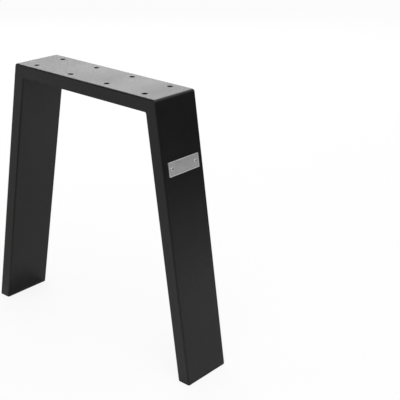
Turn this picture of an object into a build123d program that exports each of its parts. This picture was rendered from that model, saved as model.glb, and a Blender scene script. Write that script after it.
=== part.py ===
"""Splayed table leg: a welded frame of flat steel tube, open at the floor, standing on two plugged feet.

Frame: X runs along the rail, Y across the tube's wide side, Z up. The origin is on the floor, midway
between the feet. Sizes are in millimetres.
"""

import os
from math import atan2, cos, sin, tan

from build123d import *

# Driving dimensions of the frame
HEIGHT = 400.0  # floor to the face that carries the table top
TOP_LENGTH = 276.0  # rail's top face, from outer corner to outer corner
FOOT_SPREAD = 411.0  # across the outsides of the feet, at the floor

# Tube
TUBE_WIDTH = 80.0
TUBE_THICKNESS = 20.0
TUBE_WALL = 2.0
TUBE_EDGE_RADIUS = 2.5  # rounded long edges of the rolled tube
TUBE_BORE_RADIUS = 1.0  # corners inside the tube

# Welded mitres
GROUND_ROUNDING = 1.5  # outer corner radius beyond the tube's edge radius, from dressing the weld
WELD_FILLET = 2.0  # weld left in the inner corner, under the rail

# Screw holes for the table top
SCREW_HOLE = 8.0  # in the rail's upper wall
ACCESS_HOLE = 14.0  # in the rail's lower wall, for the screw's head and the driver
HOLES_PER_ROW = 4
HOLE_END_DISTANCE = 31.5  # from the rail's outer corner to the first hole of a row
HOLE_SIDE_DISTANCE = 15.0  # from the tube's side to a row

# Foot plugs
PLUG_HEAD = 2.0  # stands between the tube's end and the floor
PLUG_HEAD_INSET = 0.15  # head's outline inside the tube's
PLUG_HEAD_CHAMFER = 0.3
PLUG_LENGTH = 24.0  # inside the tube
PLUG_WALL = 2.0
FIN_COUNT = 3
FIN_THICKNESS = 1.4
FIN_REACH = 2.2  # from the plug's core to the tip of the fin
FIN_CLEARANCE = 0.15

# Blank plate
PLATE_WIDTH = 60.0
PLATE_HEIGHT = 20.0
PLATE_THICKNESS = 1.5
PLATE_CORNER = 0.8
PLATE_DROP = 95.5  # from the rail's top down the leg's outer face to the plate's middle
RIM_WIDTH = 1.3
RIM_HEIGHT = 0.4

# Blind rivets of the plate
RIVET_INSET = 6.5  # from the plate's end to the rivet's axis
RIVET_SHANK = 3.2
RIVET_HOLE_CLEARANCE = 0.05
RIVET_HEAD_LIP = 0.9  # head beyond the shank, all round
RIVET_HEAD_HEIGHT = 0.9
RIVET_HEAD_EDGE = 0.3  # upright edge of the head
RIVET_SHOULDER = 0.4  # width and drop of the sloping shoulder above that edge
MANDREL_HOLE = 2.2
MANDREL_DEPTH = 1.2
RIVET_TAIL_BULGE = 0.6  # tail beyond the shank, all round
RIVET_TAIL_LENGTH = 3.0

# Worked out from the sizes above
lean = atan2((FOOT_SPREAD - TOP_LENGTH) / 2, HEIGHT)
level_thickness = TUBE_THICKNESS / cos(lean)
bore_width = TUBE_WIDTH - 2 * TUBE_WALL
bore_thickness = TUBE_THICKNESS - 2 * TUBE_WALL
outer_corner = Vector(TOP_LENGTH / 2, 0, HEIGHT)
inner_corner = outer_corner + Vector(TUBE_THICKNESS * tan(lean) - level_thickness, 0, -TUBE_THICKNESS)
outward = Vector(cos(lean), 0, sin(lean))  # out of the right leg's outer face
up_the_leg = Vector(-sin(lean), 0, cos(lean))
across = Vector(0, 1, 0)


def outer_x(height):
    """X of the right leg's outer face at a height."""
    return outer_corner.X + (HEIGHT - height) * tan(lean)


def frame_skin():
    """The whole frame's outside as one solid, with rounded edges, dressed corners and level foot cuts."""
    foot_out = outer_x(PLUG_HEAD)
    right = [
        (outer_corner.X, outer_corner.Z),
        (foot_out, PLUG_HEAD),
        (foot_out - level_thickness, PLUG_HEAD),
        (inner_corner.X, inner_corner.Z),
    ]
    left = [(-x, z) for x, z in reversed(right)]
    outline = make_face(Polyline(*right, *left, close=True))
    outline = fillet(outline.vertices().group_by(Axis.Y)[1], WELD_FILLET)
    outline = fillet(outline.vertices().group_by(Axis.Y)[-1], TUBE_EDGE_RADIUS + GROUND_ROUNDING)
    skin = extrude(Plane.XZ * outline, TUBE_WIDTH / 2, both=True)
    side_edges = skin.faces().filter_by(Axis.Y).edges()
    foot_cut_edges = skin.faces().group_by(Axis.Z)[0].edges()
    return fillet(side_edges - foot_cut_edges, TUBE_EDGE_RADIUS)


def mitre(side):
    """Plane of the weld on the right (1) or the left (-1). Its normal points to the rail."""
    along = (outer_corner - inner_corner).normalized()
    corner = Vector(side * outer_corner.X, 0, outer_corner.Z)
    return Plane(corner, x_dir=across, z_dir=Vector(-side * along.Z, 0, along.X))


def along_leg(section, low, high):
    """A bar on the right leg's axis, cut level at two heights. The section's x is the tube's thickness."""
    middle = (low + high) / 2
    axis_point = Vector(outer_x(middle) - level_thickness / 2, 0, middle)
    leg_plane = Plane(axis_point, x_dir=outward, z_dir=up_the_leg)
    bar = extrude(leg_plane * section, (high - low) / 2 / cos(lean) + TUBE_THICKNESS, both=True)
    bar = split(bar, Plane.XY.offset(low), keep=Keep.TOP)
    return split(bar, Plane.XY.offset(high), keep=Keep.BOTTOM)


def make_rail(skin):
    """Mitred top tube with its screw holes above and wider access holes below."""
    rail = split(skin, mitre(1), keep=Keep.TOP)
    rail = split(rail, mitre(-1), keep=Keep.TOP)
    middle = Plane((0, 0, HEIGHT - TUBE_THICKNESS / 2), x_dir=across, z_dir=(1, 0, 0))
    bore = middle * RectangleRounded(bore_width, bore_thickness, TUBE_BORE_RADIUS)
    rail -= extrude(bore, TOP_LENGTH, both=True)
    pitch = (TOP_LENGTH - 2 * HOLE_END_DISTANCE) / (HOLES_PER_ROW - 1)
    rows_apart = TUBE_WIDTH - 2 * HOLE_SIDE_DISTANCE
    places = GridLocations(pitch, rows_apart, HOLES_PER_ROW, 2)
    upper_wall = Pos(0, 0, HEIGHT - TUBE_WALL / 2)
    lower_wall = Pos(0, 0, HEIGHT - TUBE_THICKNESS + TUBE_WALL / 2)
    rail -= upper_wall * places * Cylinder(SCREW_HOLE / 2, 2 * TUBE_WALL)
    rail -= lower_wall * places * Cylinder(ACCESS_HOLE / 2, 2 * TUBE_WALL)
    return rail


def make_right_leg(skin):
    """Mitred leg tube, open at the foot, before its rivet holes."""
    half = split(skin, Plane.YZ, keep=Keep.TOP)
    leg = split(half, mitre(1), keep=Keep.BOTTOM)
    bore = RectangleRounded(bore_thickness, bore_width, TUBE_BORE_RADIUS)
    return leg - along_leg(bore, 0, HEIGHT + TUBE_THICKNESS)


def make_right_plug():
    """Moulded foot plug: a floor head, a hollow core and the fins that grip the tube's bore."""
    top = PLUG_HEAD + PLUG_LENGTH
    head_thickness = TUBE_THICKNESS - 2 * PLUG_HEAD_INSET
    head_width = TUBE_WIDTH - 2 * PLUG_HEAD_INSET
    fin_thickness = bore_thickness - 2 * FIN_CLEARANCE
    fin_width = bore_width - 2 * FIN_CLEARANCE
    core_thickness = fin_thickness - 2 * FIN_REACH
    core_width = fin_width - 2 * FIN_REACH

    plug = along_leg(RectangleRounded(head_thickness, head_width, TUBE_EDGE_RADIUS), 0, PLUG_HEAD)
    plug = chamfer(plug.faces().sort_by(Axis.Z)[0].edges(), PLUG_HEAD_CHAMFER)
    plug += along_leg(Rectangle(core_thickness, core_width), PLUG_HEAD, top)
    fin = RectangleRounded(fin_thickness, fin_width, TUBE_BORE_RADIUS)
    fin_step = (PLUG_LENGTH - FIN_THICKNESS) / FIN_COUNT
    for number in range(1, FIN_COUNT + 1):
        low = PLUG_HEAD + number * fin_step
        plug += along_leg(fin, low, low + FIN_THICKNESS)
    hollow = Rectangle(core_thickness - 2 * PLUG_WALL, core_width - 2 * PLUG_WALL)
    return plug - along_leg(hollow, PLUG_HEAD, top)


def plate_seat():
    """Plane on the right leg's outer face, at the plate's middle: x along +Y, y up the leg."""
    return Plane(outer_corner - up_the_leg * PLATE_DROP, x_dir=across, z_dir=outward)


def rivet_places():
    """Places on the seat at the two ends of the plate."""
    return GridLocations(PLATE_WIDTH - 2 * RIVET_INSET, 0, 2, 1)


def make_plate():
    """Blank metal plate with a raised rim and a hole at each end."""
    seat = plate_seat()
    plate = extrude(seat * RectangleRounded(PLATE_WIDTH, PLATE_HEIGHT, PLATE_CORNER), PLATE_THICKNESS)
    field = RectangleRounded(PLATE_WIDTH - 2 * RIM_WIDTH, PLATE_HEIGHT - 2 * RIM_WIDTH, PLATE_CORNER / 2)
    plate -= extrude(seat.offset(PLATE_THICKNESS) * field, -RIM_HEIGHT)
    return plate - rivet_holes()


def rivet_holes():
    """Drill for the plate's rivets, through the plate and the leg's outer wall."""
    radius = RIVET_SHANK / 2 + RIVET_HOLE_CLEARANCE
    depth = PLATE_THICKNESS + 2 * TUBE_WALL
    return plate_seat() * rivet_places() * Cylinder(radius, 2 * depth)


def make_rivets():
    """Set blind rivets: domed head with the mandrel's hole, shank, and a tail drawn up inside the tube."""
    grip = PLATE_THICKNESS - RIM_HEIGHT + TUBE_WALL
    shank = RIVET_SHANK / 2
    head = shank + RIVET_HEAD_LIP
    tail = shank + RIVET_TAIL_BULGE
    mandrel = MANDREL_HOLE / 2
    tail_end = -grip - RIVET_TAIL_LENGTH
    profile = Polyline(
        (0, tail_end),
        (shank, tail_end),
        (tail, tail_end + RIVET_TAIL_LENGTH / 2),
        (tail, -grip),
        (shank, -grip),
        (shank, 0),
        (head, 0),
        (head, RIVET_HEAD_EDGE),
        (head - RIVET_SHOULDER, RIVET_HEAD_EDGE + RIVET_SHOULDER),
        (mandrel, RIVET_HEAD_HEIGHT),
        (mandrel, RIVET_HEAD_HEIGHT - MANDREL_DEPTH),
        (0, RIVET_HEAD_HEIGHT - MANDREL_DEPTH),
        close=True,
    )
    rivet = revolve(Plane.XZ * make_face(profile), Axis.Z)
    head_seat = plate_seat().offset(PLATE_THICKNESS - RIM_HEIGHT)
    return head_seat * rivet_places() * rivet


def main():
    skin = frame_skin()
    leg = make_right_leg(skin)
    plug = make_right_plug()
    pieces = {
        "top_rail": make_rail(skin),
        "left_leg": mirror(leg, about=Plane.YZ),
        "right_leg": leg - rivet_holes(),
        "left_foot_plug": mirror(plug, about=Plane.YZ),
        "right_foot_plug": plug,
        "blank_plate": make_plate(),
        "plate_rivets": Compound(make_rivets()),
    }
    os.makedirs("parts", exist_ok=True)
    for name, piece in pieces.items():
        export_step(piece, f"parts/{name}.step")


main()
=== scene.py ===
"""Looks of the splayed table leg: powder-coated tube, plastic foot plugs and a blank riveted plate.

The leg stands in a white studio, seen from the photograph's angle. Lengths are in metres, in the part's
own frame.
"""
from math import cos, pi, radians, sin

import bpy
from mathutils import Matrix, Vector


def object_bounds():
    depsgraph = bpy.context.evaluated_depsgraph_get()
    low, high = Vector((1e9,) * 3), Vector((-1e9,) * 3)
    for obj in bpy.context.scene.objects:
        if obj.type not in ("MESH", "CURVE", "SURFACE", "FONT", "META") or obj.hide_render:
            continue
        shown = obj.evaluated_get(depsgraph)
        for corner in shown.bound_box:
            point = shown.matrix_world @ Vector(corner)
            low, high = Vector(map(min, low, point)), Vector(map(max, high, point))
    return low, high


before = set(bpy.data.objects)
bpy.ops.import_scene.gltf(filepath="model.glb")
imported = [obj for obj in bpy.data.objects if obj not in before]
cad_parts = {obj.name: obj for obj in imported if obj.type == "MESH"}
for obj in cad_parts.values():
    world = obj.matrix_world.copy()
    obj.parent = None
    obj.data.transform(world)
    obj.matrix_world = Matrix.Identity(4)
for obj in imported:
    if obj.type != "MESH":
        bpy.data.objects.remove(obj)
cad_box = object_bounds()

# Places and directions of the part
TOP = Vector((0.0, 0.0, cad_box[1].z))
MIDDLE = Vector((0.0, 0.0, (cad_box[0].z + cad_box[1].z) / 2))
ACROSS = Vector((0.0, 1.0, 0.0))  # along the tube's wide side

# Camera, fitted to the photograph's edges
CAMERA_AZIMUTH = radians(39.62)
CAMERA_ELEVATION = radians(22.17)
CAMERA_ROLL = radians(1.35)
CAMERA_DISTANCE = 1.4077  # to the leg's middle, along the view
CAMERA_ASIDE = 0.1422  # the camera stands to the right of the leg's middle
CAMERA_RAISED = 0.0110
LENS_MM = 85.79
SENSOR_MM = 36.0

# Plate
RIM_WIDTH = 0.0013
RIM_FADE = (0.0002, 0.00038)  # depth below the rim's top over which its polish and painted highlight end
# The rim's lighter colour is partly its polish and partly a painted highlight for the light its rounded
# edge catches.
RIM_POLISH_AND_HIGHLIGHT = 0.95
RIM_ROUGHNESS = 0.58
RECESS_PAINTED_SHADE_WIDTH = 0.0008  # width of the painted shade line along the inside of the rim
RECESS_PAINTED_SHADE_LEVEL = 0.55  # how bright that painted shade is at the rim, as a share of the field
BRUSHING = (1.0, 0.03, 1.0)  # scale of places in the noise, which draws its marks out along Y
BRUSHED_SHARE = 0.6  # of the field's uneven colour, the share that follows the brushing

# Rivets
# The rivets' dark middles are painted shade, standing in for the shade in their hollow.
HOLLOW_PAINTED_SHADE_RADIUS = 0.0011
HOLLOW_PAINTED_SHADE_FADE = 1.05  # share of that radius at which the painted shade of the hollow gives way to the head
HOLLOW_PAINTED_SHADE_COLOUR = 0.02
HOLLOW_PAINTED_SHADE_ROUGHNESS = 0.60

# Floor and room
FLOOR_SIZE = 30.0
FLOOR_GAP = 0.0002  # keeps the floor clear of the feet's lower faces
FLOOR_COLOUR = 0.95
FLOOR_OWN_LIGHT = 0.85  # share of the floor's white that the shadow doesn't darken
FLOOR_OWN_LIGHT_REFLECTED = 0.10  # the same share, where the floor shows in a reflection
FLOOR_FADE = (1.0, 4.0)  # distance from the leg over which the floor turns plain white
ROOM_LIGHT = 0.50  # on matt surfaces, from all round

# Lamps: place, what the lamp faces, width, height and radiance
SOFTBOXES = {
    "rear_softbox": (TOP + Vector((-1.584, 1.496, 0.726)), TOP, 2.4, 1.0, 3.25),
    "key_softbox": (Vector((0.7, -0.6, 2.2)), MIDDLE, 2.0, 2.0, 2.0),
}

# Black cards that only show in reflections: place, what the card faces, width and height
STANDING_CARD_LEVEL = 0.01
STANDING_CARDS = {
    "right_card": ((0.68, 0.45, 0.36), (0.16, 0.0, 0.36), 1.2, 0.60),
    "front_card": ((0.80, -0.50, 0.45), (0.17, -0.04, 0.45), 1.3, 0.60),
    "upper_card": ((-0.62, -0.45, 1.0), (0.0, -0.04, 0.40), 1.2, 1.0),
    "left_edge_card": ((-0.085, -0.15, 0.13), (-0.165, -0.04, 0.13), 0.11, 0.28),
    "right_edge_card": ((0.31, -0.17, 0.24), (0.17, -0.04, 0.24), 0.16, 0.20),
}

# Grey cards just above the floor that only show in reflections, as painted shade on the floor there:
# place, width, depth and grey level
LYING_CARDS = {
    "left_card": ((-0.585, -0.55, 0.001), 0.75, 1.00, 0.57),
    "inner_card": ((-0.02, 0.16, 0.001), 0.33, 0.44, 0.64),
    "left_foot_card": ((-0.168, -0.005, 0.002), 0.032, 0.080, 0.25),
    "right_foot_card": ((0.29, 0.10, 0.001), 0.16, 0.20, 0.70),
}


def node_tree(owner):
    """The emptied node tree of a material or a world."""
    owner.use_nodes = True
    tree = owner.node_tree
    tree.nodes.clear()
    return tree


def new_material(name):
    material = bpy.data.materials.new(name)
    return material, node_tree(material)


def add(tree, kind, inputs=None, **settings):
    """A new node, with its settings and with values or links for its inputs."""
    node = tree.nodes.new(kind)
    for name, value in settings.items():
        setattr(node, name, value)
    for name, value in (inputs or {}).items():
        if isinstance(value, bpy.types.NodeSocket):
            tree.links.new(value, node.inputs[name])
        else:
            node.inputs[name].default_value = value
    return node


def grey(level):
    return (level, level, level, 1.0)


def place(tree):
    """Place in the part's own frame, in metres."""
    return add(tree, "ShaderNodeTexCoord").outputs["Object"]


def noise(tree, vector, scale, detail=2.0, roughness=0.5):
    inputs = {"Vector": vector, "Scale": scale, "Detail": detail, "Roughness": roughness}
    return add(tree, "ShaderNodeTexNoise", inputs).outputs["Fac"]


def between(tree, factor, low, high, start=0.3, end=0.7):
    """Factor from start to end, as a number from low to high. Noise mostly lies between 0.3 and 0.7."""
    inputs = {"Value": factor, "From Min": start, "From Max": end, "To Min": low, "To Max": high}
    return add(tree, "ShaderNodeMapRange", inputs).outputs["Result"]


def calc(tree, operation, first, second=0.0):
    return add(tree, "ShaderNodeMath", {0: first, 1: second}, operation=operation).outputs[0]


def mix(tree, factor, low, high):
    """Low where the factor is 0, high where it is 1."""
    return add(tree, "ShaderNodeMix", {0: factor, 2: low, 3: high}).outputs[0]


def along(tree, where, direction):
    """How far a place lies along a direction."""
    product = add(tree, "ShaderNodeVectorMath", {0: where, 1: direction}, operation="DOT_PRODUCT")
    return product.outputs["Value"]


def bump(tree, height, distance, strength, under=None):
    """Normal of a surface raised by a height, on top of another bump if there is one."""
    inputs = {"Height": height, "Distance": distance, "Strength": strength}
    if under is not None:
        inputs["Normal"] = under
    return add(tree, "ShaderNodeBump", inputs).outputs["Normal"]


def surface(tree, inputs):
    shader = add(tree, "ShaderNodeBsdfPrincipled", inputs)
    add(tree, "ShaderNodeOutputMaterial", {"Surface": shader.outputs["BSDF"]})


def powder_coat():
    """Matt black coat: a fine grain over a faint orange peel, a little uneven in sheen."""
    material, tree = new_material("black_powder_coat")
    where = place(tree)
    grain = noise(tree, where, scale=1700.0, detail=3.0)
    peel = noise(tree, where, scale=300.0)
    drift = noise(tree, where, scale=11.0, detail=3.0)
    peeled = bump(tree, peel, distance=0.0003, strength=0.5)
    surface(tree, {
        "Base Color": between(tree, drift, low=0.0055, high=0.0075),
        "Roughness": between(tree, drift, low=0.39, high=0.45),
        "IOR": 1.37,
        "Normal": bump(tree, grain, distance=0.00012, strength=1.0, under=peeled),
    })
    return material


def plug_plastic():
    """Black moulded plastic with a fine spark-eroded grain."""
    material, tree = new_material("black_plastic")
    where = place(tree)
    grain = noise(tree, where, scale=2600.0)
    drift = noise(tree, where, scale=60.0)
    surface(tree, {
        "Base Color": between(tree, drift, low=0.006, high=0.009),
        "Roughness": between(tree, drift, low=0.46, high=0.54),
        "IOR": 1.36,
        "Normal": bump(tree, grain, distance=0.00005, strength=0.5),
    })
    return material


def plate_axes():
    """Out of the plate's field, and up the plate."""
    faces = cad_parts["blank_plate"].data.polygons
    field = max((face for face in faces if face.normal.x > 0), key=lambda face: face.area)
    outward = field.normal.copy()
    return outward, outward.cross(ACROSS)


def reach(name, direction):
    """Lowest and highest place of a node along a direction."""
    places = [vertex.co.dot(direction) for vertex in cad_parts[name].data.vertices]
    return min(places), max(places)


def plate_metal():
    """Satin aluminium, brushed lengthwise, with a polished rim that also carries a painted highlight,
    and a painted shade line inside it.
    """
    material, tree = new_material("satin_aluminium")
    where = place(tree)
    outward, upward = plate_axes()
    low, high = reach("blank_plate", upward)
    end = reach("blank_plate", ACROSS)[1]
    rim_top = reach("blank_plate", outward)[1]

    depth = calc(tree, "SUBTRACT", rim_top, along(tree, where, outward))
    # rim is 1 on the rim's top, whose lighter colour is partly polish and partly painted highlight
    rim = between(tree, depth, 1.0, 0.0, *RIM_FADE)
    from_middle = calc(tree, "SUBTRACT", along(tree, where, upward), (low + high) / 2)
    to_side = calc(tree, "SUBTRACT", (high - low) / 2 - RIM_WIDTH, calc(tree, "ABSOLUTE", from_middle))
    to_end = calc(tree, "SUBTRACT", end - RIM_WIDTH, calc(tree, "ABSOLUTE", along(tree, where, ACROSS)))
    to_rim = calc(tree, "MINIMUM", to_side, to_end)
    # Painted shade in the recess by the rim: 1 in the open field, darker towards the rim.
    clear_of_painted_shade = between(tree, to_rim, RECESS_PAINTED_SHADE_LEVEL, 1.0, start=0.0, end=RECESS_PAINTED_SHADE_WIDTH)

    stretched = add(tree, "ShaderNodeMapping", {"Vector": where, "Scale": BRUSHING}).outputs["Vector"]
    brushing = noise(tree, stretched, scale=4000.0, detail=3.0)
    drift = noise(tree, where, scale=120.0, detail=3.0)
    streaks = mix(tree, BRUSHED_SHARE, drift, brushing)
    field = calc(tree, "MULTIPLY", between(tree, streaks, low=0.60, high=0.78), clear_of_painted_shade)
    field_roughness = between(tree, brushing, low=0.50, high=0.62)
    surface(tree, {
        "Base Color": mix(tree, rim, field, RIM_POLISH_AND_HIGHLIGHT),
        "Metallic": 0.9,
        "Roughness": mix(tree, rim, field_roughness, RIM_ROUGHNESS),
        "Normal": bump(tree, brushing, distance=0.00006, strength=0.5),
    })
    return material


def rivet_metal():
    """Plain aluminium, a little brighter than the plate, round a painted shade in the rivet's hollow
    middle.
    """
    material, tree = new_material("rivet_aluminium")
    where = place(tree)
    upward = plate_axes()[1]
    low, high = reach("plate_rivets", upward)
    axis = reach("plate_rivets", ACROSS)[1] - (high - low) / 2

    sideways = calc(tree, "SUBTRACT", calc(tree, "ABSOLUTE", along(tree, where, ACROSS)), axis)
    upwards = calc(tree, "SUBTRACT", along(tree, where, upward), (low + high) / 2)
    squares = calc(tree, "ADD", calc(tree, "POWER", sideways, 2.0), calc(tree, "POWER", upwards, 2.0))
    from_axis = calc(tree, "SQRT", squares)
    # head is 0 on the painted shade in the hollow middle and 1 on the head
    head = between(tree, from_axis, 0.0, 1.0, start=HOLLOW_PAINTED_SHADE_RADIUS, end=HOLLOW_PAINTED_SHADE_RADIUS * HOLLOW_PAINTED_SHADE_FADE)

    drift = noise(tree, where, scale=900.0, detail=3.0)
    surface(tree, {
        "Base Color": mix(tree, head, HOLLOW_PAINTED_SHADE_COLOUR, between(tree, drift, low=0.72, high=0.84)),
        "Metallic": 0.95,
        "Roughness": mix(tree, head, HOLLOW_PAINTED_SHADE_ROUGHNESS, between(tree, drift, low=0.48, high=0.58)),
        "Normal": bump(tree, drift, distance=0.00003, strength=0.4),
    })
    return material


def dress(slot, material, *nodes):
    """Gives the nodes a material. The slot argument is not used."""
    for name in nodes:
        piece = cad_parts[name]
        piece.data.materials.clear()
        piece.data.materials.append(material)


def own_light(tree, straight, reflected):
    """Own light's share: one for the camera's rays, another for those of reflections and glass.

    The rest see none of it.
    """
    path = add(tree, "ShaderNodeLightPath").outputs
    by_mirror = calc(tree, "MAXIMUM", path["Is Glossy Ray"], path["Is Transmission Ray"])
    by_eye = calc(tree, "MULTIPLY", path["Is Camera Ray"], straight)
    return calc(tree, "MAXIMUM", by_eye, calc(tree, "MULTIPLY", by_mirror, reflected))


def far_out(tree, near, far):
    """None within a distance of the leg, one beyond a larger one."""
    distance = add(tree, "ShaderNodeVectorMath", {0: place(tree)}, operation="LENGTH").outputs["Value"]
    return between(tree, distance, 0.0, 1.0, near, far)


def plane(name, width, depth, matrix):
    """A flat stage piece."""
    w, d = width / 2, depth / 2
    mesh = bpy.data.meshes.new(name)
    mesh.from_pydata([(-w, -d, 0), (w, -d, 0), (w, d, 0), (-w, d, 0)], [], [(0, 1, 2, 3)])
    piece = bpy.data.objects.new(name, mesh)
    piece.matrix_world = matrix
    bpy.context.scene.collection.objects.link(piece)
    return piece


def make_floor():
    """Pale floor that shows as white and keeps the leg's shadow. Its underside is clear."""
    floor = plane("floor", FLOOR_SIZE, FLOOR_SIZE, Matrix.Translation((0.0, 0.0, -FLOOR_GAP)))
    material, tree = new_material("pale_floor")
    seen_straight = mix(tree, far_out(tree, *FLOOR_FADE), FLOOR_OWN_LIGHT, 1.0)
    share = own_light(tree, seen_straight, FLOOR_OWN_LIGHT_REFLECTED)
    matt = add(tree, "ShaderNodeBsdfDiffuse", {"Color": grey(FLOOR_COLOUR)}).outputs[0]
    white = add(tree, "ShaderNodeEmission", {"Color": grey(1.0), "Strength": 1.0}).outputs[0]
    upper_side = add(tree, "ShaderNodeMixShader", {0: share, 1: matt, 2: white}).outputs[0]
    clear = add(tree, "ShaderNodeBsdfTransparent").outputs[0]
    from_below = add(tree, "ShaderNodeNewGeometry").outputs["Backfacing"]
    both_sides = add(tree, "ShaderNodeMixShader", {0: from_below, 1: upper_side, 2: clear}).outputs[0]
    add(tree, "ShaderNodeOutputMaterial", {"Surface": both_sides})
    floor.data.materials.append(material)


def make_room():
    """White surroundings, dimmer as a light than they look."""
    world = bpy.data.worlds.new("room")
    bpy.context.scene.world = world
    tree = node_tree(world)
    strength = between(tree, own_light(tree, 1.0, 1.0), ROOM_LIGHT, 1.0, start=0.0, end=1.0)
    light = add(tree, "ShaderNodeBackground", {"Color": grey(1.0), "Strength": strength})
    add(tree, "ShaderNodeOutputWorld", {"Surface": light.outputs[0]})


def facing(position, target):
    """A placement at position whose -Z looks at target."""
    turn = (Vector(target) - Vector(position)).to_track_quat("-Z", "Y")
    return Matrix.Translation(position) @ turn.to_matrix().to_4x4()


def softbox(name, position, target, width, height, radiance):
    """A rectangular lamp that the camera doesn't see."""
    lamp = bpy.data.lights.new(name, "AREA")
    lamp.shape = "RECTANGLE"
    lamp.size = width
    lamp.size_y = height
    lamp.energy = radiance * pi * width * height
    holder = bpy.data.objects.new(name, lamp)
    holder.matrix_world = facing(position, target)
    holder.visible_camera = False
    bpy.context.scene.collection.objects.link(holder)


def reflected_card(name, placement, width, height, level):
    """A card that only shows in reflections."""
    card = plane(name, width, height, placement)
    card.visible_camera = False
    card.visible_diffuse = False
    card.visible_shadow = False
    material, tree = new_material(name)
    shade = add(tree, "ShaderNodeEmission", {"Color": grey(level), "Strength": 1.0})
    add(tree, "ShaderNodeOutputMaterial", {"Surface": shade.outputs[0]})
    card.data.materials.append(material)


def make_studio():
    make_room()
    make_floor()
    for name, (position, target, width, height, radiance) in SOFTBOXES.items():
        softbox(name, position, target, width, height, radiance)
    for name, (position, target, width, height) in STANDING_CARDS.items():
        reflected_card(name, facing(position, target), width, height, STANDING_CARD_LEVEL)
    for name, (position, width, depth, level) in LYING_CARDS.items():
        reflected_card(name, Matrix.Translation(position), width, depth, level)


def make_camera():
    back = Vector((
        sin(CAMERA_AZIMUTH) * cos(CAMERA_ELEVATION),
        -cos(CAMERA_AZIMUTH) * cos(CAMERA_ELEVATION),
        sin(CAMERA_ELEVATION),
    ))
    level_right = Vector((cos(CAMERA_AZIMUTH), sin(CAMERA_AZIMUTH), 0.0))
    level_up = back.cross(level_right)
    right = level_right * cos(CAMERA_ROLL) + level_up * sin(CAMERA_ROLL)
    up = level_up * cos(CAMERA_ROLL) - level_right * sin(CAMERA_ROLL)
    eye = MIDDLE + back * CAMERA_DISTANCE + right * CAMERA_ASIDE + up * CAMERA_RAISED
    camera = bpy.data.cameras.new("camera")
    camera.lens = LENS_MM
    camera.sensor_width = SENSOR_MM
    holder = bpy.data.objects.new("camera", camera)
    turn = Matrix((right, up, back)).transposed().to_4x4()
    holder.matrix_world = Matrix.Translation(eye) @ turn
    bpy.context.scene.collection.objects.link(holder)
    bpy.context.scene.camera = holder


dress("powder_coat", powder_coat(), "top_rail", "left_leg", "right_leg")
dress("plug_plastic", plug_plastic(), "left_foot_plug", "right_foot_plug")
dress("plate_metal", plate_metal(), "blank_plate")
dress("rivet_metal", rivet_metal(), "plate_rivets")
make_studio()
make_camera()
bpy.context.scene.view_settings.view_transform = "Standard"
